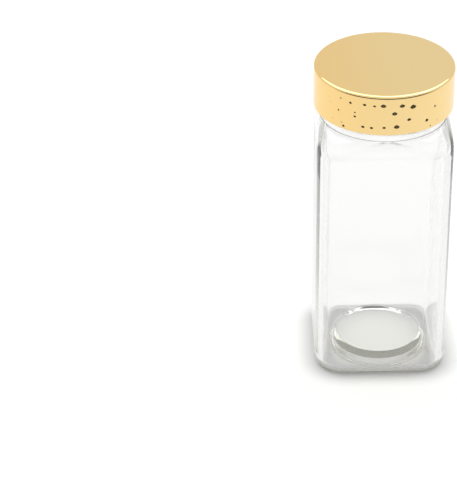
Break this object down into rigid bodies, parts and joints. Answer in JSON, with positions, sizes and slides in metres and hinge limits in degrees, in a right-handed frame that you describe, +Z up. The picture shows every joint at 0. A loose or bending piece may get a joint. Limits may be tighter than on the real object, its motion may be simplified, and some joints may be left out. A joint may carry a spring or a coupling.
{
  "type": "spice jar",
  "caption": "Square clear-glass spice jar with a round threaded neck, shaker insert and two-part gold screw cap.",
  "frame": {"origin": "centre of the base, on the surface the jar stands on", "axes": "+Z up along the neck; the four flat sides face +X, -X, +Y and -Y, and the neck thread starts on +X"},
  "size_m": [0.046, 0.046, 0.1082],
  "materials": {
    "glass": "clear flint glass, smooth and glossy, faint grey-green at thick edges",
    "frosted_plastic": "natural translucent polyethylene, frosted",
    "wad": "soft white foamed sheet",
    "white_plastic": "white moulded plastic, satin",
    "gold_metal": "mirror-gloss gold plated skin"
  },
  "bodies": {
    "jar": {"glass_jar": "glass"},
    "insert": {"shaker_insert": "frosted_plastic"},
    "wad": {"seal_wad": "wad"},
    "cap": {"cap_liner": "white_plastic", "cap_shell": "gold_metal"}
  },
  "joints": [
    {"name": "cap_rise", "type": "slide", "parent": "jar", "child": "wad", "axis": [0, 0, 1], "range_m": [0, 0.0254]},
    {"name": "cap_turn", "type": "hinge", "parent": "wad", "child": "cap", "pos_m": [0, 0, 0.1], "axis": [0, 0, 1], "range_deg": [0, 2160]},
    {"name": "insert_lift", "type": "slide", "parent": "jar", "child": "insert", "axis": [0, 0, 1], "range_m": [0, 0.01016]}
  ],
  "couplings": [
    {"joint": "cap_rise", "follows": "cap_turn", "m_per_rad": 0.0006737},
    {"joint": "insert_lift", "follows": "cap_turn", "m_per_rad": 0.00026948}
  ]
}
